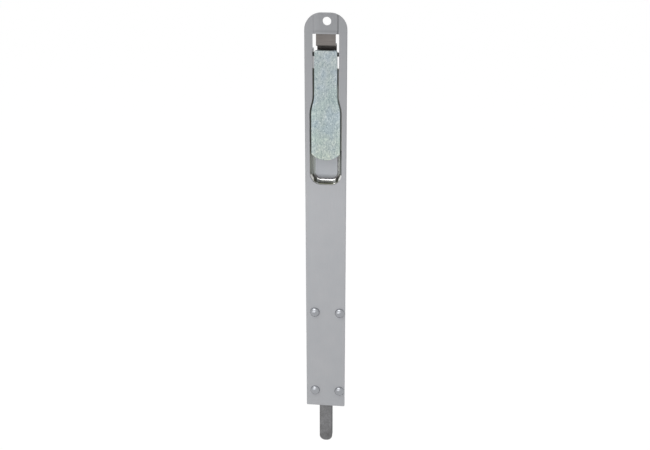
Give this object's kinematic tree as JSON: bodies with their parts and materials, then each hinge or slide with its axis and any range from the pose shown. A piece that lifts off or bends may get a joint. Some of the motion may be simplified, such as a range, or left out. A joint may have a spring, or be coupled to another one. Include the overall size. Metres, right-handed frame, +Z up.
{
  "type": "surface bolt",
  "caption": "Lever-operated flush door bolt: a long round-topped face plate, a folding lever in a window, and a flat bolt that it draws along the plate.",
  "frame": {"origin": "centre of the plate's back face, which seats on the door", "axes": "+Z up along the plate, away from the bolt's tip; -Y out of the plate's front; +X to the right of someone who faces the front"},
  "size_m": [0.03, 0.0143, 0.3435],
  "materials": {
    "plate_zinc": "light grey baked coat, satin",
    "lever_zinc": "zinc coat with a fine spangle",
    "cup_steel": "bright pressed steel",
    "spring_steel": "tempered brown spring steel",
    "bolt_steel": "dark grey drawn steel, satin",
    "rivet_zinc": "zinc-coated dome rivets",
    "lug_steel": "zinc-coated sheet steel",
    "pin_steel": "plain turned steel",
    "guide_steel": "zinc-coated steel block"
  },
  "bodies": {
    "frame": {"plate": "plate_zinc", "recess_cup": "cup_steel", "pivot_lug_left": "lug_steel", "pivot_lug_right": "lug_steel", "pivot_pin": "pin_steel", "leaf_spring": "spring_steel", "upper_guide": "guide_steel", "lower_guide": "guide_steel", "guide_rivets": "rivet_zinc"},
    "handle": {"lever": "lever_zinc", "crank_bracket": "lug_steel", "crank_pin": "pin_steel"},
    "link": {"link_left": "lug_steel", "link_right": "lug_steel", "crank_spacer": "pin_steel", "strap_spacer": "pin_steel"},
    "bolt": {"strap_pin": "pin_steel", "drive_strap": "lug_steel", "bolt_bar": "bolt_steel", "strap_rivets": "pin_steel"}
  },
  "joints": [
    {"name": "lever_hinge", "type": "hinge", "parent": "frame", "child": "handle", "pos_m": [0, 0.003, 0.1253], "axis": [-1, 0, 0], "range_deg": [0, 78]},
    {"name": "link_pivot", "type": "hinge", "parent": "handle", "child": "link", "pos_m": [0, 0.003, 0.1053], "axis": [1, 0, 0], "range_deg": [0, 156]},
    {"name": "bolt_pivot", "type": "hinge", "parent": "link", "child": "bolt", "pos_m": [0, 0.003, 0.0853], "axis": [-1, 0, 0], "range_deg": [0, 78]}
  ],
  "couplings": [
    {"joint": "link_pivot", "follows": "lever_hinge", "ratio": 2},
    {"joint": "bolt_pivot", "follows": "lever_hinge", "ratio": 1}
  ]
}
